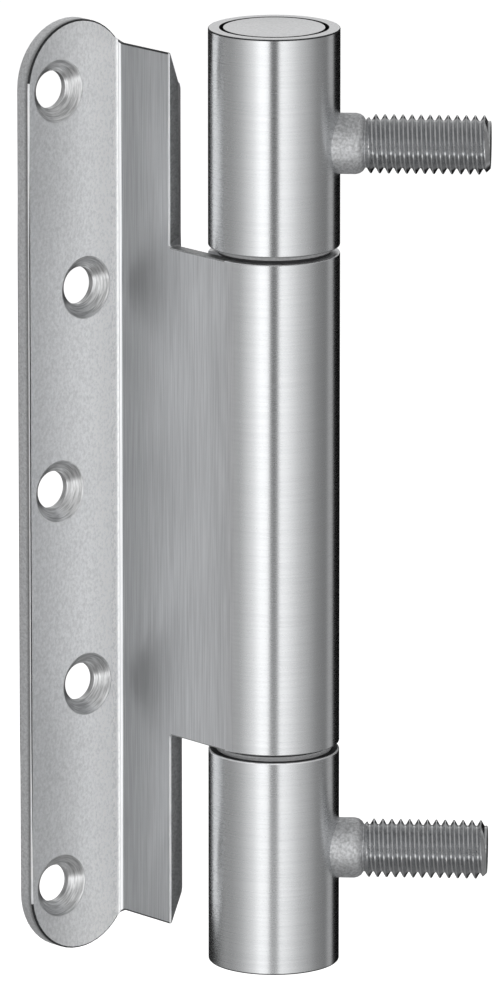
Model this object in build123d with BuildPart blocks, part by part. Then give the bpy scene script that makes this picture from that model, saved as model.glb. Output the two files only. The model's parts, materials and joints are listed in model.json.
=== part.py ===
from build123d import *
from math import sqrt
import os

# A door hinge with a round barrel for a rebated door. The pivot axis is Z, with the origin on it
# at half height. The door side is one folded and rolled sheet. The frame side is the two end
# knuckles, each with a threaded stud.
# All sizes are in millimetres, and angles in degrees.

# Barrel
barrel_diameter = 22.0
middle_knuckle_height = 84.0
end_knuckle_height = 36.8
joint_gap = 1.2  # from the middle knuckle to each end knuckle
knuckle_edge = 0.35  # chamfer on the knuckles' outer edges

# Door leaf, folded and rolled from one sheet
sheet = 3.0
plate_width = 20.0  # free edge to the inner corner of the fold
plate_height = 160.0
flange_step = 5.0  # from the plate's top and bottom to the flange's upper and lower edge
flange_width = 12.6  # inner corner of the fold to the end of the flange, where only the tongue goes on
fold_to_axis = 26.5  # inner corner of the fold to the pivot axis, along the flange
fold_radius = 1.0  # inside the fold
bevel_height = 5.8  # on the back of the flange's upper and lower edges
bevel_land = 0.4  # thickness left at those edges
bevel_round = 4.0  # where the bevel runs out on the flange's back
notch_round = 0.6  # in the corner between the tongue and the flange's end
seam = 0.3  # from the end of the roll to the flange's back

# Countersunk screw holes in the plate
screw_hole_diameter = 6.4
countersink_diameter = 10.4
countersink_angle = 90.0
end_hole_inset = 11.6  # plate's top and bottom to the first and last hole
outer_column = 6.6  # free edge to the first, third and fifth hole
inner_column = 12.5  # free edge to the second and fourth hole

# Studs that screw into the door frame
stud_diameter = 9.85  # over the crests of the M10 thread
stud_from_end = 19.5  # barrel's end to the stud's axis
stud_collar_diameter = 10.2
stud_collar = 3.8  # plain length in front of the barrel
stud_collar_edge = 0.6  # chamfer
stud_neck_diameter = 8.2
stud_neck_length = 0.9
stud_thread_length = 20.3
stud_tip_chamfer = 1.0
stud_spigot_diameter = 8.0  # the end that is screwed into the knuckle
stud_seat_depth = 1.5  # flat seat that is sunk in the barrel's side
stud_angle = 45.0  # from the flange's direction to the studs, as the hinge stands half open

# Pivot
bush_wall = 1.93
bush_length = 18.0  # sleeve in the rolled knuckle
bush_flange_inset = 1.6  # of the flange's edge from the barrel's surface
thrust_washer_inset = 1.3
thrust_washer_thickness = 0.7
knuckle_rim = 1.9  # wall of the knuckle's end round the cap's seat
cap_groove = 0.6  # open ring round the cap
cap_seat_depth = 2.6  # below the knuckle's rim
cap_rise = 0.2  # above the knuckle's rim
cap_spigot_length = 4.0

# Clearances
fixed_gap = 0.02  # round what is pressed or screwed in
running_gap = 0.05  # radial, round the pin in the bushes
axial_play = 0.1  # between a washer and the bush's flange
pin_end_gap = 0.3  # between the pin and a cap's spigot
stud_pin_gap = 0.3  # between a stud's inner end and the pin

# Radii and levels
barrel_radius = barrel_diameter / 2
roll_radius = barrel_radius - sheet
pin_radius = roll_radius - fixed_gap - bush_wall - running_gap
cap_seat_radius = barrel_radius - knuckle_rim
stud_radius = stud_diameter / 2
collar_radius = stud_collar_diameter / 2
middle_half = middle_knuckle_height / 2
joint_level = middle_half + joint_gap
barrel_half = joint_level + end_knuckle_height
stud_level = barrel_half - stud_from_end
plate_half = plate_height / 2
flange_half = plate_half - flange_step
screw_hole_pitch = (plate_half - end_hole_inset) / 2

# Places on the leaf: the plate's face and seat in X, its free edge and the flange's face and back in Y
plate_face = -fold_to_axis
plate_seat = plate_face - sheet
flange_end = plate_face + flange_width
flange_face = -barrel_radius
flange_back = flange_face + sheet
free_edge = flange_face - plate_width

# The roll ends flat along the flange's back, a seam away from it.
seam_level = flange_back + seam
seam_outside = (-sqrt(barrel_radius**2 - seam_level**2), seam_level)
seam_inside = (-sqrt(roll_radius**2 - seam_level**2), seam_level)
fold_centre = (plate_face + fold_radius, flange_face - fold_radius)

# The round at each end of the plate touches the free edge, reaches the plate's full height
# and meets the flange's edge at the fold.
end_round = flange_step + plate_width - sqrt(2 * flange_step * plate_width)

os.makedirs("parts", exist_ok=True)


with BuildPart() as door_leaf:
    # Section of the folded and rolled sheet
    with BuildSketch(Plane.XY):
        with BuildLine():
            Line((plate_face, free_edge), (plate_face, fold_centre[1]))
            CenterArc(fold_centre, fold_radius, 180, -90)
            Line((fold_centre[0], flange_face), (0, flange_face))
            ThreePointArc((0, flange_face), (barrel_radius, 0), seam_outside)
            Line(seam_outside, seam_inside)
            ThreePointArc(seam_inside, (roll_radius, 0), (0, flange_back))
            Line((0, flange_back), (fold_centre[0], flange_back))
            CenterArc(fold_centre, fold_radius + sheet, 90, 90)
            Line((plate_seat, fold_centre[1]), (plate_seat, free_edge))
            Line((plate_seat, free_edge), (plate_face, free_edge))
        make_face()
    extrude(amount=plate_half, both=True)

    # Outline seen along X: the round-ended plate, the flange with its bevels and the knuckle's height
    with BuildSketch(Plane.YZ) as outline:
        with BuildLine():
            Line((free_edge, 0), (free_edge, plate_half - end_round))
            RadiusArc((free_edge, plate_half - end_round), (flange_face, flange_half), end_round)
            Polyline(
                (flange_face, flange_half),
                (flange_face + bevel_land, flange_half),
                (flange_back, flange_half - bevel_height),
                (flange_back, middle_half),
                (barrel_radius, middle_half),
                (barrel_radius, 0),
            )
            mirror(about=Plane.XZ)
        make_face()
        bevel_ends = outline.vertices().filter_by(
            lambda corner: abs(corner.X - flange_back) < seam and abs(corner.Y) > middle_half + seam
        )
        fillet(bevel_ends, bevel_round)
    extrude(amount=fold_to_axis + sheet, both=True, mode=Mode.INTERSECT)

    # Beyond the flange's end only the tongue is left, as high as the middle knuckle.
    with BuildSketch(Plane.XZ) as notches:
        for side in (1, -1):
            with Locations((flange_end, side * middle_half)):
                Rectangle(
                    barrel_diameter + fold_to_axis,
                    plate_height,
                    align=(Align.MIN, Align.MIN if side > 0 else Align.MAX),
                )
        fillet(notches.vertices().group_by(Axis.X)[0].sort_by(lambda corner: abs(corner.Y))[:2], notch_round)
    extrude(amount=barrel_diameter, both=True, mode=Mode.SUBTRACT)

    # Screw holes, countersunk in the plate's face
    for row in range(-2, 3):
        column = outer_column if row % 2 == 0 else inner_column
        with Locations(Plane((plate_face, free_edge + column, row * screw_hole_pitch), z_dir=(1, 0, 0))):
            CounterSinkHole(
                radius=screw_hole_diameter / 2,
                counter_sink_radius=countersink_diameter / 2,
                depth=2 * sheet,
                counter_sink_angle=countersink_angle,
            )

    level_arcs = door_leaf.edges().filter_by(GeomType.CIRCLE).filter_by(Plane.XY)
    chamfer(level_arcs.filter_by(lambda arc: abs(arc.radius - barrel_radius) < fixed_gap), knuckle_edge)

door_leaf.part.label = "door_leaf"
export_step(door_leaf.part, "parts/door_leaf.step")


# The pin runs through both end knuckles and is held between the two caps.
pin_half = barrel_half - cap_seat_depth - cap_spigot_length - pin_end_gap

with BuildPart() as hinge_pin:
    with BuildSketch(Plane.XY):
        Circle(pin_radius)
    extrude(amount=pin_half, both=True)

hinge_pin.part.label = "hinge_pin"
export_step(hinge_pin.part, "parts/hinge_pin.step")


def facing_out(level, side):
    """Plane across the pivot axis at a height above or below the middle, facing away from the middle."""
    return Plane(origin=(0, 0, side * level), x_dir=(1, 0, 0), z_dir=(0, 0, side))


stud_direction = Vector(1, 0, 0).rotate(Axis.Z, stud_angle)
stud_seat = barrel_radius - stud_seat_depth
stud_inner_end = pin_radius + stud_pin_gap
thread_start = barrel_radius + stud_collar + stud_neck_length
stud_tip = thread_start + stud_thread_length
bush_flange = joint_gap - thrust_washer_thickness - axial_play

for name, side in (("upper", 1), ("lower", -1)):
    stud_centre = Vector(0, 0, side * stud_level)

    with BuildPart() as knuckle:
        with BuildSketch(facing_out(joint_level, side)):
            Circle(barrel_radius)
            Circle(pin_radius + fixed_gap, mode=Mode.SUBTRACT)
        extrude(amount=end_knuckle_height)
        chamfer(knuckle.edges().filter_by(GeomType.CIRCLE).group_by(SortBy.RADIUS)[-1], knuckle_edge)
        with BuildSketch(facing_out(barrel_half, side)):
            Circle(cap_seat_radius)
        extrude(amount=-cap_seat_depth, mode=Mode.SUBTRACT)
        with BuildSketch(Plane(stud_centre + stud_direction * barrel_radius, z_dir=stud_direction)):
            Circle(collar_radius + fixed_gap)
        extrude(amount=-stud_seat_depth, mode=Mode.SUBTRACT)
        with BuildSketch(Plane(stud_centre, z_dir=stud_direction)):
            Circle(stud_spigot_diameter / 2 + fixed_gap)
        extrude(amount=barrel_radius, mode=Mode.SUBTRACT)

    knuckle.part.label = f"{name}_knuckle"
    export_step(knuckle.part, f"parts/{name}_knuckle.step")

    with BuildPart() as stud:
        along_stud = Plane(stud_centre, x_dir=stud_direction, z_dir=stud_direction.cross(Vector(0, 0, 1)))
        with BuildSketch(along_stud) as half_section:
            with BuildLine():
                Polyline(
                    (stud_inner_end, 0),
                    (stud_inner_end, stud_spigot_diameter / 2),
                    (stud_seat, stud_spigot_diameter / 2),
                    (stud_seat, collar_radius),
                    (barrel_radius + stud_collar, collar_radius),
                    (barrel_radius + stud_collar, stud_neck_diameter / 2),
                    (thread_start, stud_neck_diameter / 2),
                    (thread_start, stud_radius),
                    (stud_tip - stud_tip_chamfer, stud_radius),
                    (stud_tip, stud_radius - stud_tip_chamfer),
                    (stud_tip, 0),
                    close=True,
                )
            make_face()
            collar_corners = half_section.vertices().group_by(Axis.Y)[-1].sort_by(Axis.X)
            chamfer(collar_corners[-1], stud_collar_edge)
        revolve(axis=Axis(stud_centre, stud_direction))

    stud.part.label = f"{name}_stud"
    export_step(stud.part, f"parts/{name}_stud.step")

    with BuildPart() as end_cap:
        with BuildSketch(facing_out(barrel_half - cap_seat_depth, side)):
            Circle(cap_seat_radius - cap_groove)
        extrude(amount=cap_seat_depth + cap_rise)
        with BuildSketch(facing_out(barrel_half - cap_seat_depth, side)):
            Circle(pin_radius)
        extrude(amount=-cap_spigot_length)

    end_cap.part.label = f"{name}_end_cap"
    export_step(end_cap.part, f"parts/{name}_end_cap.step")

    with BuildPart() as washer:
        with BuildSketch(facing_out(joint_level, side)):
            Circle(barrel_radius - thrust_washer_inset)
            Circle(pin_radius + fixed_gap, mode=Mode.SUBTRACT)
        extrude(amount=-thrust_washer_thickness)

    washer.part.label = f"{name}_thrust_washer"
    export_step(washer.part, f"parts/{name}_thrust_washer.step")

    with BuildPart() as bush:
        with BuildSketch(facing_out(middle_half, side)):
            Circle(barrel_radius - bush_flange_inset)
        extrude(amount=bush_flange)
        with BuildSketch(facing_out(middle_half, side)):
            Circle(roll_radius - fixed_gap)
        extrude(amount=-bush_length)
        with BuildSketch(facing_out(middle_half - bush_length, side)):
            Circle(pin_radius + running_gap)
        extrude(amount=bush_length + bush_flange, mode=Mode.SUBTRACT)

    bush.part.label = f"{name}_bush"
    export_step(bush.part, f"parts/{name}_bush.step")
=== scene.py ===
"""Retrofit door hinge in satin stainless steel: its finished pieces, materials and studio."""

import json
from math import atan2, cos, pi, radians, sin, sqrt
from types import SimpleNamespace

import bmesh
import bpy
from mathutils import Matrix, Vector

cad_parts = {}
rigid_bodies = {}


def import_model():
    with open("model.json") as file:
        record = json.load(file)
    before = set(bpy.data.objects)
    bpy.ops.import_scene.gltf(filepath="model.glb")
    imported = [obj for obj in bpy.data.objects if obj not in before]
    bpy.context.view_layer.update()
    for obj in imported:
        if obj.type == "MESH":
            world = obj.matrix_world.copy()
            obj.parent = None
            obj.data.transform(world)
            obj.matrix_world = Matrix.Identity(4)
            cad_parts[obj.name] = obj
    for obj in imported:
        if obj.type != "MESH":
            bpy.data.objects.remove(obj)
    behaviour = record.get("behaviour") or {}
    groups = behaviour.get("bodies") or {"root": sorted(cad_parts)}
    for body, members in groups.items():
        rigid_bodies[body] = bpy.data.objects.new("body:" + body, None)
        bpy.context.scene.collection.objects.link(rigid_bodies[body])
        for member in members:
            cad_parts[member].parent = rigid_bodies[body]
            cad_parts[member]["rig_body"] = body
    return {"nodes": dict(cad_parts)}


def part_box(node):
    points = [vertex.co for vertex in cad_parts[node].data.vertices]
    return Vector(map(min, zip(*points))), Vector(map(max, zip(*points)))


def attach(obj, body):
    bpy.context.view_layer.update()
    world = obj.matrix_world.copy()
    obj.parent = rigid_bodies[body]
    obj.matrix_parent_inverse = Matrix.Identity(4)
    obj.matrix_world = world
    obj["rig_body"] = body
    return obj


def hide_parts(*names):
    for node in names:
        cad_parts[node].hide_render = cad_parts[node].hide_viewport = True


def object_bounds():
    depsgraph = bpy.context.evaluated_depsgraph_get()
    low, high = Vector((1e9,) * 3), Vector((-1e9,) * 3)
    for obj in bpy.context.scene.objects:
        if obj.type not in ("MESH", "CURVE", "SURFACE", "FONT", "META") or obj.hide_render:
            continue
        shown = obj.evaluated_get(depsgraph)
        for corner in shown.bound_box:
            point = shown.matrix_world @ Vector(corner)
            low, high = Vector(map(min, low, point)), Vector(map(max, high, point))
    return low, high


bl_info = {
    "name": "Retrofit Door Hinge",
    "version": (1, 0, 0),
    "blender": (4, 5, 0),
    "location": "3D View > Sidebar > Hinge",
    "description": "Finishes the pieces of a rebated-door hinge and sets up its studio",
    "category": "Object",
}

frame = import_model()
frame_low, frame_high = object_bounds()

leaf_low, leaf_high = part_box("door_leaf")
knuckle_low, knuckle_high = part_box("upper_knuckle")
cap_low, cap_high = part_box("upper_end_cap")
stud_low, stud_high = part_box("upper_stud")
pin_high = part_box("hinge_pin")[1]

MM = 0.001
UP = Vector((0, 0, 1))
ENDS = (("upper", 1), ("lower", -1))
SAME = 1e-6  # closest that two different places on the hinge come to each other
HAIR = 1e-5  # how far from a face's level a polygon still counts as part of it
SHARP = radians(35)  # edges from this angle up stay sharp
RUN_IN = 1.2  # how steeply the thread grows out of its neck
SHEET_GRAIN_WAY = (0.03, 0.02, 1)  # along the hinge, and a little aside, so that it never lies along a normal

barrel_radius = knuckle_high.x
barrel_half = knuckle_high.z
joint_level = knuckle_low.z
pin_radius = pin_high.x
stud_level = (stud_low.z + stud_high.z) / 2
collar_radius = (stud_high.z - stud_low.z) / 2

# Light and dark cloth round the tent: the angle to the right of the camera, and the brightness
RING = (
    (-180, 0.2), (-172, 0.2), (-168, 0.02), (-135, 0.03), (-118, 0.1), (-106, 0.3), (-100, 0.34), (-95, 0.4),
    (-80, 0.41), (-60, 0.6), (-36, 1.12), (-24, 1.65), (-9, 1.6), (-6.5, 0.03), (6, 0.05), (9, 1.5), (20, 1.33),
    (45, 0.78), (80, 0.33), (104, 0.23), (112, 0.48), (124, 0.5), (126.5, 0.002), (168, 0.002), (172, 0.2), (180, 0.2),
)
# Where the cards above eye level and the card below the camera hang: the same angle, and their share
OVER = (
    (-180, 1), (-160, 1), (-140, 0), (-12, 0), (-9, 0.25), (9, 0.25), (12, 0), (140, 0), (160, 1), (180, 1),
)
UNDER = ((-180, 0), (-14, 0), (-9, 1), (9, 1), (14, 0), (180, 0))


def length(name, description, default, lowest=0.0):
    """A size in metres, shown in the scene's unit of length."""
    return bpy.props.FloatProperty(
        name=name, description=description, default=default, min=lowest, precision=5, subtype="DISTANCE", unit="LENGTH"
    )


def angle(name, description, default):
    """An angle that is given in degrees and kept in radians."""
    return bpy.props.FloatProperty(
        name=name, description=description, default=radians(default), subtype="ANGLE", unit="ROTATION"
    )


def amount(name, description, default, highest=1.0):
    """A plain number from zero up."""
    return bpy.props.FloatProperty(name=name, description=description, default=default, min=0, max=highest)


def colour(name, description, default):
    """A linear RGB colour."""
    return bpy.props.FloatVectorProperty(
        name=name, description=description, default=default, size=3, min=0, max=1, subtype="COLOR"
    )


class HingeLeafSizes(bpy.types.PropertyGroup):
    """Sizes of the folded and rolled leaf."""

    sheet: length("Sheet", "Thickness of the sheet", 3.0 * MM)
    fold_radius: length("Fold Radius", "Radius inside the fold", 1.0 * MM)
    flange_width: length("Flange Width", "From the fold to the end of the flange", 12.6 * MM)
    flange_step: length("Flange Step", "From the plate's top to the flange's upper edge", 5.0 * MM)
    middle_half: length("Knuckle Half Height", "From mid-height to the end of the rolled knuckle", 42.0 * MM)
    seam: length("Seam", "From the end of the roll to the flange's back", 0.3 * MM)
    notch_round: length("Notch Round", "Radius between the flange's end and the tongue", 0.6 * MM)
    bevel_height: length("Bevel Height", "Height of the bevel on the flange's back", 5.8 * MM)
    bevel_land: length("Bevel Land", "Thickness that the bevel leaves at the edge", 0.4 * MM)
    bevel_round: length("Bevel Round", "Length of the round where the bevel runs out", 0.85 * MM)
    edge_round: length("Edge Round", "Round on the leaf's other edges", 0.28 * MM)
    hole_radius: length("Hole Radius", "Radius of a screw hole", 3.2 * MM)
    countersink_radius: length("Countersink Radius", "Radius of the countersink at the plate's face", 5.2 * MM)
    hole_pitch: length("Hole Pitch", "Height from one screw hole to the next", 34.2 * MM)
    outer_column: length("Outer Column", "From the free edge to the odd holes", 6.6 * MM)
    inner_column: length("Inner Column", "From the free edge to the even holes", 12.5 * MM)


class HingeTurnedSizes(bpy.types.PropertyGroup):
    """Sizes of the turned pieces and the studs."""

    knuckle_edge: length("Knuckle Edge", "Chamfer on the knuckles' outer edges", 0.25 * MM)
    rim: length("Rim", "Width of a knuckle's rim round the cap", 1.9 * MM)
    cap_seat_depth: length("Cap Seat Depth", "Depth of the cap's seat below the rim", 2.6 * MM)
    stud_angle: angle("Stud Angle", "From the flange's direction to the studs", 45.0)
    stud_seat: length("Stud Seat", "From the pivot axis to the flat seat under the collar", 9.5 * MM)
    collar_end: length("Collar End", "From the pivot axis to the collar's outer end", 14.8 * MM)
    collar_round: length("Collar Round", "Radius at the collar's outer end", 1.2 * MM)
    thread_start: length("Thread Start", "From the pivot axis to the start of the thread", 15.3 * MM)
    stud_tip: length("Stud Tip", "From the pivot axis to the stud's tip", 36.0 * MM)
    tip_chamfer: length("Tip Chamfer", "Chamfer that cuts the thread at the tip", 1.0 * MM)
    crest_radius: length("Crest Radius", "Outer radius of the thread", 4.925 * MM)
    root_radius: length("Root Radius", "Radius of the thread at its root", 4.0 * MM)
    neck: length("Neck", "Length of the neck between the collar and the thread", 0.12 * MM)
    spigot_radius: length("Spigot Radius", "Radius of the end that is screwed into the knuckle", 4.0 * MM)
    pitch: length("Pitch", "Pitch of the thread", 1.5 * MM)
    edge: length("Edge", "Small round on every sharp edge", 0.08 * MM)


class HingeFinish(bpy.types.PropertyGroup):
    """Colours and textures of the steel and the bushes."""

    # Painted light: the plate is painted lighter toward the fold and darker toward its free edge, from these two
    # colours.
    plate_painted_light: colour("Plate", "Colour of the plate beside the fold", (0.98, 0.99, 1.0))
    plate_edge_painted_shade: colour("Plate Edge", "Colour of the plate beside its free edge", (0.485, 0.492, 0.502))
    # Painted shade and light: the flange is painted darker beside the fold and lighter toward the tongue.
    flange_painted_shade: colour("Flange", "Colour of the flange beside the fold", (0.38, 0.386, 0.394))
    tongue_painted_light: colour("Tongue", "Colour of the tongue beside the barrel", (0.865, 0.873, 0.886))
    turned_steel: colour("Barrel", "Colour of the knuckles", (0.66, 0.67, 0.68))
    trimmed_steel: colour("Outline", "Colour of the plate's trimmed edge", (0.8, 0.807, 0.818))
    # Painted shade: the punched edges, the flange's end and the knuckles' downward chamfers are painted darker.
    punched_painted_shade: colour("Notches", "Colour of the punched edges", (0.42, 0.425, 0.43))
    countersink_steel: colour("Countersinks", "Colour of the countersinks", (0.68, 0.685, 0.69))
    blasted_steel: colour("Collars", "Colour of the studs' blasted collars", (0.6, 0.606, 0.616))
    thread_steel: colour("Threads", "Colour of the rolled threads", (0.58, 0.586, 0.595))
    lapped_steel: colour("Caps", "Colour of the lapped end caps", (0.82, 0.825, 0.835))
    washer_steel: colour("Washers", "Colour of the thrust washers", (0.44, 0.445, 0.45))
    # Painted highlights on the straight outline, the flange's end edge and the upward chamfers of the roll and the
    # knuckles.
    edge_painted_highlight: colour("Edge Highlights", "Colour of polished edges", (0.955, 0.965, 0.98))
    # Painted highlight: the fold is painted lighter, and it is also smoother.
    fold_painted_highlight: colour("Fold", "Colour of the burnished fold", (0.8, 0.808, 0.82))
    # Painted shade: the trimmed edge is painted darker toward the plate's face.
    trimmed_painted_shade: colour("Edge Shade", "Colour of the trimmed edge near the plate's face", (0.3, 0.303, 0.307))
    # Painted shade on round edges, in the caps' and knuckles' grooves, and on the knuckles' hidden faces and top
    # chamfers.
    shaded_steel: colour("Shaded Steel", "Colour of burrs and of narrow gaps", (0.06, 0.061, 0.063))
    sheet_grain: amount("Sheet Grain", "How much the sheet's grain changes its colour", 0.11)
    sheet_depth: length("Sheet Grain Depth", "Depth of the sheet's grain", 0.0013 * MM)
    washer_metal: amount("Washer Metal", "Share of the washers' light that they mirror", 0.3)
    bush: colour("Bushes", "Colour of the bushes", (0.028, 0.028, 0.03))
    plate_roughness: amount("Plate Roughness", "Roughness of the plate", 0.43)
    plate_metal: amount("Plate Metal", "Share of the plate's light that it mirrors", 0.75)
    flange_roughness: amount("Flange Roughness", "Roughness of the flange and the tongue", 0.55)
    turned_roughness: amount("Barrel Roughness", "Roughness of the knuckles", 0.27)
    brushing: amount("Brushing", "How much more the steel scatters light across its brush marks", 0.8)
    streaks: amount("Streaks", "How much the brush marks change the colour", 0.028)
    streak_depth: length("Streak Depth", "Depth of the brush marks", 0.0003 * MM)


class HingeStudio(bpy.types.PropertyGroup):
    """Camera, floor and light."""

    azimuth: angle("Azimuth", "Direction from which the camera looks", 48.5)
    elevation: angle("Elevation", "Height of the camera above the horizon", 13.48)
    distance: length("Distance", "From the camera to the point that it looks at", 1.9)
    aside: length("Aside", "Camera's aim to the right of the pivot axis", -4.42 * MM, -1.0)
    above: length("Above", "Camera's aim above mid-height", -0.52 * MM, -1.0)
    lens: amount("Lens", "Focal length in millimetres", 409.0, 1000.0)
    floor_drop: length("Floor Drop", "From the hinge's lowest point to the floor", 0.3)
    floor: colour("Floor", "Colour of the floor", (0.9, 0.9, 0.9))
    ambient: amount("Ambient", "Strength of the room's light on the floor", 0.6)
    lamp_power: amount("Lamp Power", "Power of the soft lamp in watts", 40.0, 500.0)
    tent_width: length("Tent Width", "Radius of the tent of light cards", 0.6)
    tent_height: length("Tent Height", "Half height of the tent", 0.37)
    back_card: amount("Back Card", "Brightness of the cards above eye level", 0.85, 5.0)
    foot_card: amount("Foot Card", "Brightness of the card below the camera", 1.4, 5.0)
    roof_card: amount("Roof", "Brightness of the tent's top", 0.5, 5.0)
    ground_card: amount("Ground", "Brightness of the tent's bottom", 0.3, 5.0)


def verts_of(geom):
    return [part for part in geom if isinstance(part, bmesh.types.BMVert)]


def edges_of(geom):
    return [part for part in geom if isinstance(part, bmesh.types.BMEdge)]


def everything(bm):
    return bm.verts[:] + bm.edges[:] + bm.faces[:]


def rounded(bm, parts, size, segments=3, affect="EDGES"):
    """Rounds edges of a solid or corners of an outline."""
    bmesh.ops.bevel(
        bm, geom=parts, offset=size, offset_type="OFFSET", segments=segments, profile=0.5, affect=affect, material=-1
    )


def sliced(bm, point, normal, clear=False, geom=None):
    """Cuts along a plane, clears what lies past it where that is asked, and gives back the cut's edges."""
    parts = geom or everything(bm)
    cut = bmesh.ops.bisect_plane(bm, geom=parts, dist=1e-8, plane_co=point, plane_no=normal, clear_outer=clear)
    return edges_of(cut["geom_cut"])


def spun(bm, geom, turn, steps, centre=(0, 0, 0), rise=0.0, merge=False):
    """Turns geometry about Z, or about an axis beside it, and gives back its last place."""
    return bmesh.ops.spin(
        bm, geom=geom, cent=centre, axis=UP, dvec=(0, 0, rise), angle=turn, steps=steps, use_merge=merge
    )["geom_last"]


def face_outward(bm):
    """Merges doubled vertices and turns every face of a closed piece outward."""
    bmesh.ops.remove_doubles(bm, verts=bm.verts[:], dist=1e-7)
    bmesh.ops.recalc_face_normals(bm, faces=bm.faces[:])
    if bm.calc_volume(signed=True) < 0:
        bmesh.ops.reverse_faces(bm, faces=bm.faces[:])


def turned(corners, steps=160):
    """Turns an outline round Z. Each corner is a radius, a height and the size of its round."""
    bm = bmesh.new()
    verts = [bm.verts.new((radius, 0, height)) for radius, height, size in corners]
    bm.faces.new(verts)
    for vert, (radius, height, size) in zip(verts, corners):
        if size:
            rounded(bm, [vert], size, affect="VERTICES")
    bmesh.ops.delete(bm, geom=bm.faces[:], context="FACES_ONLY")
    on_axis = [edge for edge in bm.edges if all(vert.co.x < 1e-7 for vert in edge.verts)]
    bmesh.ops.delete(bm, geom=on_axis, context="EDGES")
    spun(bm, bm.verts[:] + bm.edges[:], 2 * pi, steps, merge=True)
    face_outward(bm)
    return bm


def object_from(bm, name, materials=()):
    """Makes a bmesh an object in the scene."""
    mesh = bpy.data.meshes.new(name)
    bm.to_mesh(mesh)
    bm.free()
    for material in materials:
        mesh.materials.append(material)
    made = bpy.data.objects.new(name, mesh)
    bpy.context.scene.collection.objects.link(made)
    return made


def drilled(piece, cutter):
    """Takes the cutter's shape out of a piece."""
    tool = object_from(cutter, "cutter")
    cutter_mesh = tool.data
    cut = piece.modifiers.new("Cut", "BOOLEAN")
    cut.operation = "DIFFERENCE"
    cut.solver = "EXACT"
    cut.object = tool
    bpy.context.view_layer.update()
    evaluated = piece.evaluated_get(bpy.context.evaluated_depsgraph_get())
    mesh = bpy.data.meshes.new_from_object(evaluated)
    piece.modifiers.clear()
    old = piece.data
    piece.data = mesh
    mesh.name = old.name
    bpy.data.meshes.remove(old)
    bpy.data.objects.remove(tool)
    bpy.data.meshes.remove(cutter_mesh)


def piece_from(bm, name, node, materials):
    """Makes a bmesh a piece that stands for its CAD node and moves with that node's body."""
    piece = object_from(bm, name, materials)
    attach(piece, frame["nodes"][node]["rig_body"])
    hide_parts(node)
    return piece


def softened(piece):
    """Shades a piece smooth between its sharp edges and keeps flat faces flat in the light."""
    for polygon in piece.data.polygons:
        polygon.use_smooth = True
    piece.data.set_sharp_from_angle(angle=SHARP)
    normals = piece.modifiers.new("Normals", "WEIGHTED_NORMAL")
    normals.keep_sharp = True
    normals.weight = 100


class Finish:
    """A node material that is put together from small steps."""

    def __init__(self, name):
        self.material = bpy.data.materials.new(name)
        self.material.use_nodes = True
        self.tree = self.material.node_tree
        self.shader = self.tree.nodes["Principled BSDF"]
        self.place = self.tree.nodes.new("ShaderNodeTexCoord").outputs["Object"]

    def node(self, kind, inputs=(), **settings):
        """Adds a node. Its inputs are given as pairs of a socket and a value or another node's output."""
        node = self.tree.nodes.new(kind)
        for setting, value in settings.items():
            setattr(node, setting, value)
        for socket, value in inputs:
            if isinstance(value, bpy.types.NodeSocket):
                self.tree.links.new(value, node.inputs[socket])
            else:
                node.inputs[socket].default_value = value
        return node.outputs

    def number(self, operation, first, second=0.0):
        return self.node("ShaderNodeMath", [(0, first), (1, second)], operation=operation)[0]

    def ranged(self, value, low, high, to_low=0.0, to_high=1.0):
        """Maps a range of values to another, with soft ends."""
        inputs = [("Value", value), ("From Min", low), ("From Max", high), ("To Min", to_low), ("To Max", to_high)]
        return self.node("ShaderNodeMapRange", inputs, interpolation_type="SMOOTHSTEP")["Result"]

    def blend(self, share, first, second, kind="FLOAT"):
        """Goes from the first value to the second."""
        inputs = [("Factor", share), ("A", first), ("B", second)]
        return self.node("ShaderNodeMix", inputs, data_type=kind)["Result"]

    def tint(self, share, *colours):
        """Goes from the first colour to the second."""
        ends = [tint if isinstance(tint, bpy.types.NodeSocket) else (*tint, 1) for tint in colours]
        return self.blend(share, *ends, "RGBA")

    def grain(self, scale, detail=3.0):
        """Noise that is stretched along the axes with a small scale, per metre. One scale serves all three."""
        scales = scale if isinstance(scale, tuple) else (scale,) * 3
        stretched = self.node("ShaderNodeMapping", [("Vector", self.place), ("Scale", scales)])["Vector"]
        inputs = [("Vector", stretched), ("Scale", 1.0), ("Detail", detail), ("Roughness", 0.6)]
        return self.node("ShaderNodeTexNoise", inputs)["Fac"]

    def axis(self, name):
        return self.node("ShaderNodeSeparateXYZ", [(0, self.place)])[name]

    def brushed_along(self, tangent, amount):
        """Scatters light along the tangent, which is given in the object's own axes."""
        turned = self.node(
            "ShaderNodeVectorTransform",
            [("Vector", tangent)],
            vector_type="VECTOR",
            convert_from="OBJECT",
            convert_to="WORLD",
        )["Vector"]
        self.tree.links.new(turned, self.shader.inputs["Tangent"])
        self.shader.inputs["Anisotropic"].default_value = amount

    def shade(self, tint, level):
        """Makes a colour lighter or darker and gives it to the shader."""
        tinted = self.node("ShaderNodeVectorMath", [(0, tint), ("Scale", level)], operation="SCALE")["Vector"]
        self.tree.links.new(tinted, self.shader.inputs["Base Color"])

    def steel(self, tint, roughness, grain, change, depth):
        """Metal whose colour, roughness and surface follow the grain."""
        swing = self.number("MULTIPLY", self.ranged(grain, 0.25, 0.75, -1, 1), change)
        self.shade(tint, self.number("ADD", swing, 1.0))
        spread = self.number("MULTIPLY", self.ranged(grain, 0.25, 0.75, 1.06, 0.94), roughness)
        self.tree.links.new(spread, self.shader.inputs["Roughness"])
        self.shader.inputs["Metallic"].default_value = 1.0
        bump = self.node("ShaderNodeBump", [("Height", grain), ("Distance", depth), ("Strength", 1.0)])["Normal"]
        self.tree.links.new(bump, self.shader.inputs["Normal"])
        return self.material


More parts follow.
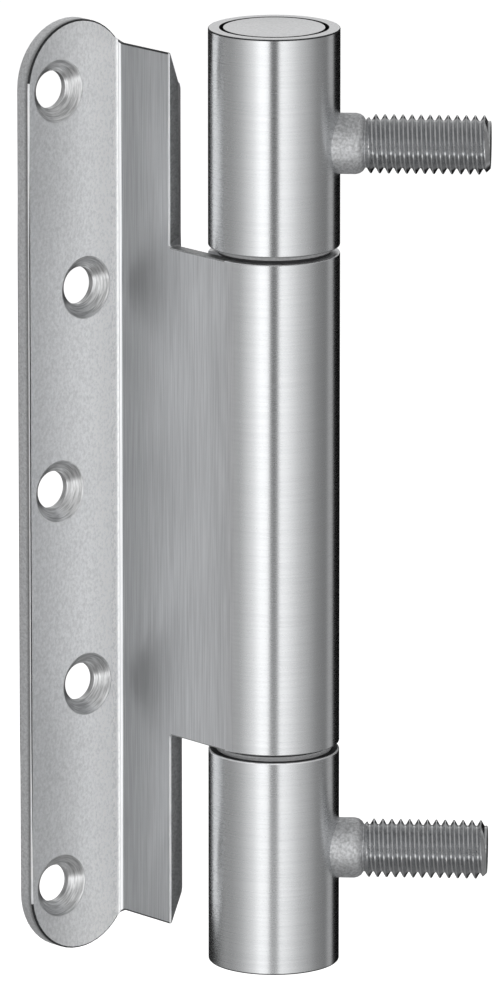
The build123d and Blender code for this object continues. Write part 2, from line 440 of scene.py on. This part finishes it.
def lathe_tangent(finish):
    """Lies across the marks of a lathe: along the axis on a barrel, outward on an end face."""
    flat = finish.node("ShaderNodeMapping", [("Vector", finish.place), ("Scale", (1, 1, 0))])["Vector"]
    return finish.node("ShaderNodeVectorMath", [(0, flat), (1, (0, 0, barrel_radius))], operation="ADD")["Vector"]


def turned_grain(finish):
    """Fine marks that run round the barrel, with some that have no direction."""
    return finish.blend(0.2, finish.grain((70, 70, 2600)), finish.grain(2400))


def barrel_material(values):
    finish = Finish("turned_barrel")
    grain = turned_grain(finish)
    finish.brushed_along(lathe_tangent(finish), values.brushing)
    return finish.steel(values.turned_steel, values.turned_roughness, grain, values.streaks, values.streak_depth)


def plate_material(values, fold_start):
    """Grained sheet with a coarse dotted strip, pressed beside the fold, painted lighter toward the fold."""
    finish = Finish("grained_plate")
    beside = finish.number(
        "MULTIPLY",
        finish.ranged(finish.axis("Y"), fold_start - 1.4 * MM, fold_start - 0.7 * MM),
        finish.ranged(finish.axis("Y"), fold_start, fold_start - 0.2 * MM),
    )
    dotted = finish.ranged(finish.grain((3000, 3000, 1800), 2.0), 0.3, 0.7)
    grain = finish.blend(beside, finish.grain((2400, 2400, 1800)), dotted)
    finish.brushed_along(SHEET_GRAIN_WAY, values.brushing)
    # Painted light on the plate: lighter toward the fold, darker toward the free edge.
    painted_light_from_edge = finish.ranged(finish.axis("Y"), leaf_low.y, fold_start - 2 * MM)
    tint = finish.tint(painted_light_from_edge, values.plate_edge_painted_shade, values.plate_painted_light)
    finish.steel(tint, values.plate_roughness, grain, 0.13, 0.002 * MM)
    finish.shader.inputs["Metallic"].default_value = values.plate_metal
    return finish.material


def leaf_material(values, sizes):
    """Grained sheet whose rolled part is brushed round like the other knuckles, and whose flange is painted darker
    beside the fold and lighter toward the tongue.
    """
    finish = Finish("grained_leaf")
    back = sizes.sheet - barrel_radius
    in_front = finish.ranged(finish.axis("X"), 1 * MM, 3.5 * MM)
    behind = finish.ranged(finish.axis("Y"), back + 0.1 * MM, back + 0.5 * MM)
    rolled = finish.number("MAXIMUM", in_front, behind)
    grain = finish.blend(rolled, finish.grain((4200, 4200, 70)), turned_grain(finish))
    finish.brushed_along(SHEET_GRAIN_WAY, values.brushing)
    # Painted shade beside the fold that turns into painted light on the tongue.
    painted_light_from_fold = finish.ranged(finish.axis("X"), -26 * MM, -4 * MM)
    sheet = finish.tint(painted_light_from_fold, values.flange_painted_shade, values.tongue_painted_light)
    tint = finish.tint(rolled, sheet, values.turned_steel)
    roughness = finish.blend(rolled, values.flange_roughness, values.turned_roughness)
    change = finish.blend(rolled, values.sheet_grain, values.streaks)
    depth = finish.blend(rolled, values.sheet_depth, values.streak_depth)
    return finish.steel(tint, roughness, grain, change, depth)


def trimmed_material(values, face):
    """Trimmed edge with painted shade toward the plate's face."""
    finish = Finish("trimmed_edge")
    # Painted shade toward the plate's face.
    painted_shade_by_face = finish.ranged(finish.axis("X"), face - 1.3 * MM, face - 0.2 * MM)
    tint = finish.tint(painted_shade_by_face, values.trimmed_steel, values.trimmed_painted_shade)
    return finish.steel(tint, 0.5, finish.grain(2400), 0.14, 0.006 * MM)


def even_material(name, tint, roughness, scale, change, depth):
    """Steel with a grain of its own and no direction in its shine."""
    finish = Finish(name)
    return finish.steel(tint, roughness, finish.grain(scale), change, depth)


def highlight_material(name, values):
    """Steel with a painted highlight along an edge."""
    return even_material(name, values.edge_painted_highlight, 0.45, (900, 900, 300), 0.1, 0.001 * MM)


def bush_material(values):
    finish = Finish("bush_polymer_finish")
    finish.shade(values.bush, finish.ranged(finish.grain(1500), 0.3, 0.7, 0.85, 1.15))
    finish.shader.inputs["Roughness"].default_value = 0.55
    return finish.material


# Places of the leaf's materials in its list
SHEET, TRIMMED, COUNTERSUNK, PUNCHED_SHADE, FACED, PLATE, FOLD_HIGHLIGHT, EDGE_HIGHLIGHT, EDGE_SHADE = range(9)


def leaf_levels(sizes):
    """Where the faces and ends of the leaf lie."""
    plate_face = leaf_low.x + sizes.sheet
    flange_face = -barrel_radius
    flange_back = flange_face + sizes.sheet
    return SimpleNamespace(
        plate_seat=leaf_low.x,
        plate_face=plate_face,
        free_edge=leaf_low.y,
        fold_start=flange_face - sizes.fold_radius,
        flange_face=flange_face,
        flange_back=flange_back,
        flange_end=plate_face + sizes.flange_width,
        plate_half=leaf_high.z,
        flange_half=leaf_high.z - sizes.flange_step,
        seam=flange_back + sizes.seam,
    )


class HINGE_OT_door_leaf(bpy.types.Operator):
    """Fold and roll the door leaf from one sheet, and drill its screw holes"""

    bl_idname = "hinge.door_leaf"
    bl_label = "Door Leaf"

    def execute(self, context):
        sizes = context.scene.hinge_leaf
        finish = context.scene.hinge_finish
        at = leaf_levels(sizes)
        bm = bmesh.new()
        self.fold(bm, sizes, at)
        self.outline(bm, sizes, at)
        self.bevels(bm, sizes, at)
        self.roll(bm, sizes, at)
        self.rounds(bm, sizes, at, context.scene.hinge_turned.knuckle_edge)
        materials = [
            leaf_material(finish, sizes),
            trimmed_material(finish, at.plate_face),
            even_material("countersink", finish.countersink_steel, 0.3, (5200, 350, 350), 0.35, 0.006 * MM),
            even_material("punched_edge_shade", finish.punched_painted_shade, 0.5, 2400, 0.2, 0.008 * MM),
            even_material("faced_end", finish.lapped_steel, 0.36, 2400, 0.08, 0.002 * MM),
            plate_material(finish, at.fold_start),
            even_material("painted_fold_highlight", finish.fold_painted_highlight, 0.3, (2400, 2400, 60), 0.05, 0.001 * MM),
            highlight_material("painted_edge_highlight", finish),
            even_material("painted_edge_shade", finish.shaded_steel, 0.5, 2400, 0.2, 0.002 * MM),
        ]
        piece = piece_from(bm, "rolled_leaf", "door_leaf", materials)
        holes = []
        for row in range(-2, 3):
            column = sizes.inner_column if row % 2 else sizes.outer_column
            holes.append(Vector((at.plate_seat, at.free_edge + column, row * sizes.hole_pitch)))
        self.drill(piece, sizes, holes)
        for polygon in piece.data.polygons:
            polygon.material_index = self.finish_of(polygon, sizes, at, holes)
        softened(piece)
        return {"FINISHED"}

    def fold(self, bm, sizes, at):
        """The sheet's section at mid-height: plate, fold and flange."""

        def carried_on(edge, along):
            """Extrudes the sheet's end and gives back its new end."""
            grown = bmesh.ops.extrude_edge_only(bm, edges=[edge])["geom"]
            bmesh.ops.translate(bm, verts=verts_of(grown), vec=along)
            return edges_of(grown)[0]

        corners = [bm.verts.new((x, at.free_edge, 0)) for x in (at.plate_seat, at.plate_face)]
        across = carried_on(bm.edges.new(corners), (0, at.fold_start - at.free_edge, 0))
        centre = (at.plate_face + sizes.fold_radius, at.fold_start, 0)
        folded = spun(bm, [across, *across.verts], -pi / 2, 8, centre)
        carried_on(edges_of(folded)[0], (sizes.flange_width - sizes.fold_radius, 0, 0))

    def outline(self, bm, sizes, at):
        """The plate's end is a round that touches the free edge and meets the flange's edge at the fold."""
        plate_width = at.flange_face - at.free_edge
        end_round = sizes.flange_step + plate_width - sqrt(2 * sizes.flange_step * plate_width)
        round_y, round_z = at.free_edge + end_round, at.plate_half - end_round
        turn = pi - atan2(at.flange_half - round_z, at.flange_face - round_y)
        cuts = 20
        for step in range(1, cuts):
            sliced(bm, (0, round_y - end_round * cos(turn * step / cuts), 0), (0, 1, 0))
        top = set(verts_of(bmesh.ops.extrude_face_region(bm, geom=bm.faces[:])["geom"]))
        for vert in bm.verts:
            level = at.flange_half
            if vert.co.y < at.flange_face:
                level = round_z + sqrt(max(0, end_round**2 - (vert.co.y - round_y) ** 2))
            vert.co.z = level if vert in top else -level

    def bevels(self, bm, sizes, at):
        """Bevels on the back of the flange's upper and lower edges."""
        slope = Vector((0, sizes.bevel_height, sizes.sheet - sizes.bevel_land)).normalized()
        for side in (1, -1):
            point = (0, at.flange_back, side * (at.flange_half - sizes.bevel_height))
            bmesh.ops.edgeloop_fill(bm, edges=sliced(bm, point, (0, slope.y, side * slope.z), clear=True))
        run_out = [
            edge
            for edge in bm.edges
            if all(abs(v.co.y - at.flange_back) < SAME for v in edge.verts)
            and all(abs(abs(v.co.z) - at.flange_half + sizes.bevel_height) < SAME for v in edge.verts)
        ]
        rounded(bm, run_out, sizes.bevel_round, 4)

    def roll(self, bm, sizes, at):
        """The tongue and the rolled knuckle grow out of the middle of the flange's end."""
        for side in (1, -1):
            sliced(bm, (0, 0, side * sizes.middle_half), UP)
        end_face = []
        for face in bm.faces:
            centre = face.calc_center_median()
            if abs(centre.x - at.flange_end) < SAME and abs(centre.z) < sizes.middle_half:
                end_face.append(face)
        grown = bmesh.ops.extrude_face_region(bm, geom=end_face)["geom"]
        bmesh.ops.delete(bm, geom=end_face, context="FACES_ONLY")
        bmesh.ops.translate(bm, verts=verts_of(grown), vec=(-at.flange_end, 0, 0))
        start = [part for part in grown if isinstance(part, bmesh.types.BMFace)]
        before = set(bm.faces) - set(start)
        roll_inside = barrel_radius - sizes.sheet
        turn = 2 * pi - atan2(sqrt(roll_inside**2 - at.seam**2), -at.seam)
        spun(bm, start, turn, 150)
        bmesh.ops.delete(bm, geom=[face for face in start if face.is_valid], context="FACES_ONLY")

        # The roll ends in a flat face beside the seam.
        rolled = [face for face in bm.faces if face not in before]
        roll_end = [face for face in rolled if face.calc_center_median().x < -0.05 * barrel_radius]
        rim = dict.fromkeys(part for face in roll_end for part in (*face.verts, *face.edges))
        seam_edges = sliced(bm, (0, at.seam, 0), (0, -1, 0), clear=True, geom=[*rim, *roll_end])
        bmesh.ops.edgeloop_fill(bm, edges=seam_edges)

    def rounds(self, bm, sizes, at, knuckle_edge):
        """Rounds in the notches, chamfers on the knuckle's ends and a small round on every other edge."""

        def at_knuckle_end(vert):
            return abs(abs(vert.co.z) - sizes.middle_half) < SAME

        notches = [
            edge
            for edge in bm.edges
            if all(abs(v.co.x - at.flange_end) < SAME and at_knuckle_end(v) for v in edge.verts)
            and abs(edge.verts[0].co.y - edge.verts[1].co.y) > sizes.sheet / 2
        ]
        rounded(bm, notches, sizes.notch_round)
        knuckle_ends = [
            edge
            for edge in bm.edges
            if abs(edge.verts[0].co.z - edge.verts[1].co.z) < SAME
            and all(at_knuckle_end(v) and abs(v.co.xy.length - barrel_radius) < SAME for v in edge.verts)
        ]
        rounded(bm, knuckle_ends, knuckle_edge)
        face_outward(bm)
        sharp = [
            edge
            for edge in bm.edges
            if edge.calc_face_angle(0) > SHARP
            and not any(abs(v.co.y - at.seam) < SAME and v.co.x < 0 for v in edge.verts)
        ]
        rounded(bm, sharp, sizes.edge_round, 2)
        face_outward(bm)

    def drill(self, piece, sizes, holes):
        """Countersunk holes through the plate, each with a small round at its rim."""
        cone = sizes.countersink_radius - sizes.hole_radius
        flare = sizes.edge_round / 2
        cutter = turned(
            [
                (0, -sizes.sheet, 0),
                (sizes.hole_radius, -sizes.sheet, 0),
                (sizes.hole_radius, sizes.sheet - cone, 0),
                (sizes.countersink_radius - flare, sizes.sheet - flare, 0),
                (sizes.countersink_radius + flare, sizes.sheet, 0),
                (sizes.countersink_radius + flare, 2 * sizes.sheet, 0),
                (0, 2 * sizes.sheet, 0),
            ],
            96,
        )
        bmesh.ops.rotate(cutter, cent=(0, 0, 0), matrix=Matrix.Rotation(pi / 2, 3, "Y"), verts=cutter.verts[:])
        first = everything(cutter)
        for hole in holes[1:]:
            copied = bmesh.ops.duplicate(cutter, geom=first)["geom"]
            bmesh.ops.translate(cutter, verts=verts_of(copied), vec=hole)
        bmesh.ops.translate(cutter, verts=verts_of(first), vec=holes[0])
        drilled(piece, cutter)

    def finish_of(self, polygon, sizes, at, holes):
        """Gives each sheared or drilled face its own finish, and paints highlights and shade on edges, punched faces
        and the fold, by where it lies and faces.
        """
        centre, normal = polygon.center, polygon.normal
        upright = abs(normal.z)
        from_hole = min((centre - hole).yz.length for hole in holes)
        in_hole = from_hole < sizes.countersink_radius + sizes.edge_round
        on_roll = centre.xy.length > barrel_radius - sizes.sheet / 2 and centre.x > -2 * MM
        in_plate = centre.y < at.fold_start
        if in_plate and in_hole and abs(normal.x) < 0.95:
            return COUNTERSUNK
        if in_plate and not in_hole and 0.2 < normal.x < 0.97:
            # The outline's edge gets a painted highlight where it runs straight and painted shade where it is round.
            return EDGE_HIGHLIGHT if upright < 0.13 * abs(normal.y) else EDGE_SHADE
        # Painted highlight on the flange's end edge.
        if normal.x > 0.3 and normal.y < -0.3 and abs(centre.x - at.flange_end) < sizes.edge_round:
            return EDGE_HIGHLIGHT
        # Painted shade on the flange's upper and lower edge rounds.
        if not in_plate and normal.y < -0.2 and upright > 0.2 and abs(centre.z) > sizes.middle_half + 1 * MM:
            return EDGE_SHADE
        # Painted highlight on the roll's upward chamfers.
        if on_roll and 0.3 < upright < 0.9:
            return EDGE_HIGHLIGHT if normal.z > 0 else SHEET
        if in_plate and abs(normal.x) < 0.5:
            return TRIMMED
        if in_plate and normal.x > 0.5:
            return PLATE
        # Painted shade on the punched faces and the flange's top and bottom faces.
        if upright > 0.3:
            return FACED if centre.xy.length < barrel_radius else PUNCHED_SHADE
        # Painted shade on the flange's end face.
        if abs(centre.x - at.flange_end) < HAIR and normal.x > 0.9:
            return PUNCHED_SHADE
        # Painted highlight on the fold.
        if 0.4 < normal.x < 0.88 and normal.y < -0.1 and centre.x < at.flange_end - sizes.sheet:
            return FOLD_HIGHLIGHT
        return PLATE if centre.y < at.flange_face - HAIR and normal.x >= 0.88 else SHEET


# Places of an end knuckle's materials in its list
BARREL, RIM, SHADED, CHAMFER_HIGHLIGHT, CHAMFER_SHADE = range(5)


class HINGE_OT_knuckles(bpy.types.Operator):
    """Turn the two end knuckles, each with its cap's seat and its stud's seat"""

    bl_idname = "hinge.knuckles"
    bl_label = "End Knuckles"

    def execute(self, context):
        sizes = context.scene.hinge_turned
        finish = context.scene.hinge_finish
        materials = [
            barrel_material(finish),
            even_material("faced_rim", finish.lapped_steel, 0.34, 2600, 0.08, 0.002 * MM),
            even_material("shaded_groove", finish.shaded_steel, 0.6, 1500, 0.2, 0.002 * MM),
            highlight_material("chamfer_painted_highlight", finish),
            even_material("chamfer_painted_shade", finish.punched_painted_shade, 0.45, 1500, 0.1, 0.002 * MM),
        ]
        seat_radius = barrel_radius - sizes.rim
        seat_level = barrel_half - sizes.cap_seat_depth
        for name, side in ENDS:
            bm = turned(
                [
                    (pin_radius, joint_level, 0.1 * MM),
                    (barrel_radius, joint_level, sizes.knuckle_edge),
                    (barrel_radius, barrel_half, sizes.knuckle_edge),
                    (seat_radius, barrel_half, sizes.edge),
                    (seat_radius, seat_level, sizes.edge),
                    (pin_radius, seat_level, 0),
                ],
                192,
            )
            bmesh.ops.scale(bm, vec=(1, 1, side), verts=bm.verts[:])
            face_outward(bm)
            piece = piece_from(bm, f"{name}_turned_knuckle", f"{name}_knuckle", materials)
            cutter = turned(
                [
                    (0, pin_radius / 2, 0),
                    (sizes.spigot_radius, pin_radius / 2, 0),
                    (sizes.spigot_radius, sizes.stud_seat, 0),
                    (collar_radius, sizes.stud_seat, 0),
                    (collar_radius, 2 * barrel_radius, 0),
                    (0, 2 * barrel_radius, 0),
                ],
                96,
            )
            bmesh.ops.transform(cutter, matrix=along_stud(sizes, side), verts=cutter.verts[:])
            drilled(piece, cutter)
            for polygon in piece.data.polygons:
                polygon.material_index = self.finish_of(polygon, sizes, side, seat_radius)
            softened(piece)
        return {"FINISHED"}

    def finish_of(self, polygon, sizes, side, seat_radius):
        """Gives the rim its own finish, paints shade in the groove, on the hidden faces and on the top chamfer, and
        paints a highlight on the joint's upward chamfer and shade on its downward one.
        """
        reach, level = polygon.center.xy.length, side * polygon.center.z
        chamfer = 0.2 < abs(polygon.normal.z) < 0.95
        if level > barrel_half - HAIR and reach > seat_radius:
            return RIM
        # Painted shade in the groove, on the hidden faces and on the top chamfer.
        if reach < seat_radius + sizes.edge or level < joint_level + HAIR:
            return SHADED
        if chamfer and level > barrel_half - sizes.knuckle_edge:
            return SHADED
        # Painted highlight on the upward chamfer at the joint, painted shade on the downward one.
        if chamfer and level < joint_level + sizes.knuckle_edge:
            return CHAMFER_HIGHLIGHT if polygon.normal.z > 0 else CHAMFER_SHADE
        return BARREL


def along_stud(sizes, side):
    """Matrix that lays the Z axis along a stud, with its zero at the pivot axis."""
    return (
        Matrix.Translation((0, 0, side * stud_level))
        @ Matrix.Rotation(sizes.stud_angle, 4, "Z")
        @ Matrix.Rotation(pi / 2, 4, "Y")
    )


class HINGE_OT_end_caps(bpy.types.Operator):
    """Turn the two end caps, slightly crowned"""

    bl_idname = "hinge.end_caps"
    bl_label = "End Caps"

    def execute(self, context):
        sizes = context.scene.hinge_turned
        finish = context.scene.hinge_finish
        steel = even_material("lapped_cap", finish.lapped_steel, 0.32, 2600, 0.1, 0.002 * MM)
        shaded = even_material("cap_groove_shade", finish.shaded_steel, 0.6, 1500, 0.2, 0.002 * MM)
        seat_level = barrel_half - sizes.cap_seat_depth
        crown = cap_high.z - barrel_half
        for name, side in ENDS:
            bm = turned(
                [
                    (0, cap_high.z, 0),
                    (0.35 * cap_high.x, barrel_half + 0.88 * crown, 0),
                    (0.7 * cap_high.x, barrel_half + 0.5 * crown, 0),
                    (cap_high.x, barrel_half, sizes.edge),
                    (cap_high.x, seat_level, sizes.edge),
                    (pin_radius, seat_level, 0),
                    (pin_radius, cap_low.z, 0.3 * MM),
                    (0, cap_low.z, 0),
                ],
                128,
            )
            bmesh.ops.scale(bm, vec=(1, 1, side), verts=bm.verts[:])
            face_outward(bm)
            piece = piece_from(bm, f"{name}_flush_cap", f"{name}_end_cap", [steel, shaded])
            # Painted shade on every face but the cap's top.
            for polygon in piece.data.polygons:
                polygon.material_index = 0 if side * polygon.normal.z > 0.8 else 1
            softened(piece)
        return {"FINISHED"}


class HINGE_OT_studs(bpy.types.Operator):
    """Turn the two studs and cut their threads"""

    bl_idname = "hinge.studs"
    bl_label = "Studs"

    def execute(self, context):
        sizes = context.scene.hinge_turned
        finish = context.scene.hinge_finish
        blasted = even_material("blasted_collar", finish.blasted_steel, 0.55, 2100, 0.26, 0.03 * MM)
        rolled = even_material("rolled_thread", finish.thread_steel, 0.22, 1300, 0.08, 0.002 * MM)
        inner_end = pin_radius + 0.3 * MM
        for name, side in ENDS:
            neck_end = sizes.thread_start - sizes.neck
            bm = turned(
                [
                    (0, inner_end, 0),
                    (sizes.spigot_radius, inner_end, 0.3 * MM),
                    (sizes.spigot_radius, sizes.stud_seat, 0),
                    (collar_radius, sizes.stud_seat, sizes.edge),
                    (collar_radius, sizes.collar_end, sizes.collar_round),
                    (sizes.root_radius, neck_end, 0),
                    (0, neck_end, 0),
                ],
                96,
            )
            lid = [face for face in bm.faces if all(abs(vert.co.z - neck_end) < 1e-7 for vert in face.verts)]
            bmesh.ops.delete(bm, geom=lid, context="FACES")
            threaded = self.thread(sizes)
            for face in threaded.faces:
                face.material_index = 1
            grown = bpy.data.meshes.new("thread")
            threaded.to_mesh(grown)
            threaded.free()
            bm.from_mesh(grown)
            bpy.data.meshes.remove(grown)
            bmesh.ops.bridge_loops(bm, edges=[edge for edge in bm.edges if edge.is_boundary])
            face_outward(bm)
            bmesh.ops.transform(bm, matrix=along_stud(sizes, side), verts=bm.verts[:])
            piece = piece_from(bm, f"{name}_threaded_stud", f"{name}_stud", [blasted, rolled])
            softened(piece)
        return {"FINISHED"}

    def thread(self, sizes, steps=72):
        """A right-hand thread along Z, cut off square at both ends and open at its start."""
        crest, root = sizes.pitch / 8, sizes.pitch / 6
        flank = (sizes.pitch - crest - root) / 2
        profile = (
            (sizes.root_radius, 0),
            (sizes.root_radius, root),
            (sizes.crest_radius, root + flank),
            (sizes.crest_radius, root + flank + crest),
            (sizes.root_radius, sizes.pitch),
        )
        bm = bmesh.new()
        # It starts a bit more than a turn early, so that the cut doesn't run along its first edge.
        start = sizes.thread_start - 1.005 * sizes.pitch
        verts = [bm.verts.new((radius, 0, start + place)) for radius, place in profile]
        edges = [bm.edges.new(pair) for pair in zip(verts, verts[1:])]
        bmesh.ops.subdivide_edges(bm, edges=edges, cuts=3)
        spun(bm, bm.verts[:] + bm.edges[:], 2 * pi, steps, rise=sizes.pitch / steps)
        turn = everything(bm)
        for number in range(1, int((sizes.stud_tip - start) / sizes.pitch) + 2):
            copied = bmesh.ops.duplicate(bm, geom=turn)["geom"]
            bmesh.ops.translate(bm, verts=verts_of(copied), vec=(0, 0, number * sizes.pitch))
        bmesh.ops.remove_doubles(bm, verts=bm.verts[:], dist=SAME)
        sliced(bm, (0, 0, sizes.thread_start), -UP, clear=True)
        bmesh.ops.edgeloop_fill(bm, edges=sliced(bm, (0, 0, sizes.stud_tip), UP, clear=True))
        for vert in bm.verts:
            radius = vert.co.xy.length
            from_tip = sizes.stud_tip - vert.co.z
            from_start = vert.co.z - sizes.thread_start
            widest = min(sizes.crest_radius - sizes.tip_chamfer + from_tip, sizes.root_radius + RUN_IN * from_start)
            if radius > widest > 0:
                vert.co.xy *= widest / radius
        return bm


class HINGE_OT_inner_pieces(bpy.types.Operator):
    """Finish the pin, the thrust washers and the bushes"""

    bl_idname = "hinge.inner_pieces"
    bl_label = "Pin, Washers and Bushes"

    def execute(self, context):
        finish = context.scene.hinge_finish
        pin = even_material("ground_pin", finish.turned_steel, 0.2, (60, 60, 5000), 0.06, 0.001 * MM)
        washer = even_material("washer_finish", finish.washer_steel, 0.55, 2600, 0.1, 0.004 * MM)
        washer.node_tree.nodes["Principled BSDF"].inputs["Metallic"].default_value = finish.washer_metal
        bush = bush_material(finish)
        for node, material in (
            ("hinge_pin", pin),
            ("upper_thrust_washer", washer),
            ("lower_thrust_washer", washer),
            ("upper_bush", bush),
            ("lower_bush", bush),
        ):
            frame["nodes"][node].material_slots[0].material = material
        return {"FINISHED"}


class HINGE_OT_studio(bpy.types.Operator):
    """Set up the floor, the light and the camera"""

    bl_idname = "hinge.studio"
    bl_label = "Studio"

    def execute(self, context):
        studio = context.scene.hinge_studio
        context.scene.view_settings.view_transform = "Standard"
        self.world(context.scene, studio)
        self.floor(studio)
        self.lamp(context.scene, studio)
        self.tent(studio)
        self.camera(context.scene, studio)
        return {"FINISHED"}

    def world(self, scene, studio):
        """White for the camera and softer for everything that the room lights."""
        world = bpy.data.worlds.new("studio_world")
        world.use_nodes = True
        scene.world = world
        tree = world.node_tree
        background = tree.nodes["Background"]
        background.inputs["Color"].default_value = (1, 1, 1, 1)
        rays = tree.nodes.new("ShaderNodeLightPath")
        seen = rays.outputs["Is Camera Ray"]
        for kind in ("Is Glossy Ray", "Is Transmission Ray"):
            either = tree.nodes.new("ShaderNodeMath")
            either.operation = "MAXIMUM"
            tree.links.new(seen, either.inputs[0])
            tree.links.new(rays.outputs[kind], either.inputs[1])
            seen = either.outputs[0]
        strength = tree.nodes.new("ShaderNodeMapRange")
        strength.inputs["To Min"].default_value = studio.ambient
        strength.inputs["To Max"].default_value = 1.0
        tree.links.new(seen, strength.inputs["Value"])
        tree.links.new(strength.outputs["Result"], background.inputs["Strength"])

    def floor(self, studio):
        plain = Finish("pale_floor")
        for socket, value in (
            ("Base Color", (*studio.floor, 1)),
            ("Roughness", 0.9),
            ("Emission Color", (1, 1, 1, 1)),
            ("Emission Strength", 0.42),
        ):
            plain.shader.inputs[socket].default_value = value
        bm = bmesh.new()
        bmesh.ops.create_circle(bm, cap_ends=True, segments=64, radius=12)
        bmesh.ops.translate(bm, verts=bm.verts[:], vec=(0, 0, frame_low.z - studio.floor_drop))
        floor = object_from(bm, "floor", [plain.material])

    def lamp(self, scene, studio):
        """A soft lamp high on the right that draws the shadow on the floor."""
        data = bpy.data.lights.new("softbox", "AREA")
        data.shape = "DISK"
        data.size = 0.9
        data.energy = studio.lamp_power
        lamp = bpy.data.objects.new("softbox", data)
        lamp.location = (1.1, -0.75, 1.4)
        lamp.rotation_mode = "QUATERNION"
        lamp.rotation_quaternion = lamp.location.to_track_quat("Z", "Y")
        lamp.visible_camera = False
        lamp.visible_glossy = False
        scene.collection.objects.link(lamp)

    def tent(self, studio):
        """A tent of light and dark cloth round the hinge that only its reflections see."""
        cloth = Finish("tent_light")
        turned_back = Matrix.Rotation(pi / 2 - studio.azimuth, 3, "Z").to_euler()
        flat = cloth.node("ShaderNodeMapping", [("Vector", cloth.place), ("Rotation", turned_back)])["Vector"]
        around = cloth.node("ShaderNodeTexGradient", [("Vector", flat)], gradient_type="RADIAL")["Fac"]
        height = cloth.number("DIVIDE", cloth.axis("Z"), studio.tent_height)

        over = cloth.number("MULTIPLY", self.ramp(cloth, around, OVER), cloth.ranged(height, 0.3, 0.48))
        under = cloth.number("MULTIPLY", self.ramp(cloth, around, UNDER), cloth.ranged(height, -0.5, -0.65))
        level = self.ramp(cloth, around, RING)
        for share, card in (
            (over, studio.back_card),
            (under, studio.foot_card),
            (cloth.ranged(height, 0.66, 0.76), studio.roof_card),
            (cloth.ranged(height, -0.7, -0.8), studio.ground_card),
        ):
            level = cloth.blend(share, level, card)

        glow = cloth.node("ShaderNodeEmission", [("Strength", level)])["Emission"]
        out = cloth.tree.nodes["Material Output"]
        cloth.tree.links.new(glow, out.inputs["Surface"])
        cloth.tree.nodes.remove(cloth.shader)

        bm = bmesh.new()
        bmesh.ops.create_uvsphere(bm, u_segments=96, v_segments=48, radius=1)
        bmesh.ops.scale(bm, vec=(studio.tent_width, studio.tent_width, studio.tent_height), verts=bm.verts[:])
        bmesh.ops.reverse_faces(bm, faces=bm.faces[:])
        tent = object_from(bm, "tent", [cloth.material])
        for ray in ("camera", "diffuse", "transmission", "volume_scatter", "shadow"):
            setattr(tent, f"visible_{ray}", False)

    def ramp(self, cloth, around, cards):
        """Brightness round the tent, from cards with an angle and a level each. Zero faces the camera."""
        ramp = cloth.tree.nodes.new("ShaderNodeValToRGB")
        cloth.tree.links.new(around, ramp.inputs["Fac"])
        elements = ramp.color_ramp.elements
        elements.remove(elements[-1])
        for index, (turn, level) in enumerate(cards):
            place = (turn + 180) / 360
            element = elements.new(place) if index else elements[0]
            element.position = place
            element.color = (level, level, level, 1)
        return ramp.outputs["Color"]

    def camera(self, scene, studio):
        a, e = studio.azimuth, studio.elevation
        back = Vector((sin(a) * cos(e), -cos(a) * cos(e), sin(e)))
        right = Vector((cos(a), sin(a), 0))
        up = back.cross(right)
        data = bpy.data.cameras.new("camera")
        data.lens = studio.lens
        data.clip_start, data.clip_end = 0.05, 50
        camera = bpy.data.objects.new("camera", data)
        camera.location = back * studio.distance + right * studio.aside + up * studio.above
        camera.rotation_mode = "QUATERNION"
        camera.rotation_quaternion = (-back).to_track_quat("-Z", "Y")
        scene.collection.objects.link(camera)
        scene.camera = camera


class HINGE_PT_panel(bpy.types.Panel):
    """Builds the hinge's pieces one by one"""

    bl_idname = "HINGE_PT_panel"
    bl_label = "Door Hinge"
    bl_space_type = "VIEW_3D"
    bl_region_type = "UI"
    bl_category = "Hinge"

    def draw(self, context):
        for operator in OPERATORS:
            self.layout.operator(operator.bl_idname)


GROUPS = (
    ("hinge_leaf", HingeLeafSizes),
    ("hinge_turned", HingeTurnedSizes),
    ("hinge_finish", HingeFinish),
    ("hinge_studio", HingeStudio),
)
OPERATORS = (
    HINGE_OT_door_leaf,
    HINGE_OT_knuckles,
    HINGE_OT_end_caps,
    HINGE_OT_studs,
    HINGE_OT_inner_pieces,
    HINGE_OT_studio,
)


def register():
    for name, group in GROUPS:
        bpy.utils.register_class(group)
        setattr(bpy.types.Scene, name, bpy.props.PointerProperty(type=group))
    for operator in OPERATORS:
        bpy.utils.register_class(operator)
    bpy.utils.register_class(HINGE_PT_panel)


def unregister():
    bpy.utils.unregister_class(HINGE_PT_panel)
    for operator in reversed(OPERATORS):
        bpy.utils.unregister_class(operator)
    for name, group in reversed(GROUPS):
        delattr(bpy.types.Scene, name)
        bpy.utils.unregister_class(group)


def main():
    """Builds everything."""
    register()
    bpy.ops.hinge.door_leaf()
    bpy.ops.hinge.knuckles()
    bpy.ops.hinge.end_caps()
    bpy.ops.hinge.studs()
    bpy.ops.hinge.inner_pieces()
    bpy.ops.hinge.studio()


if __name__ == "__main__":
    main()
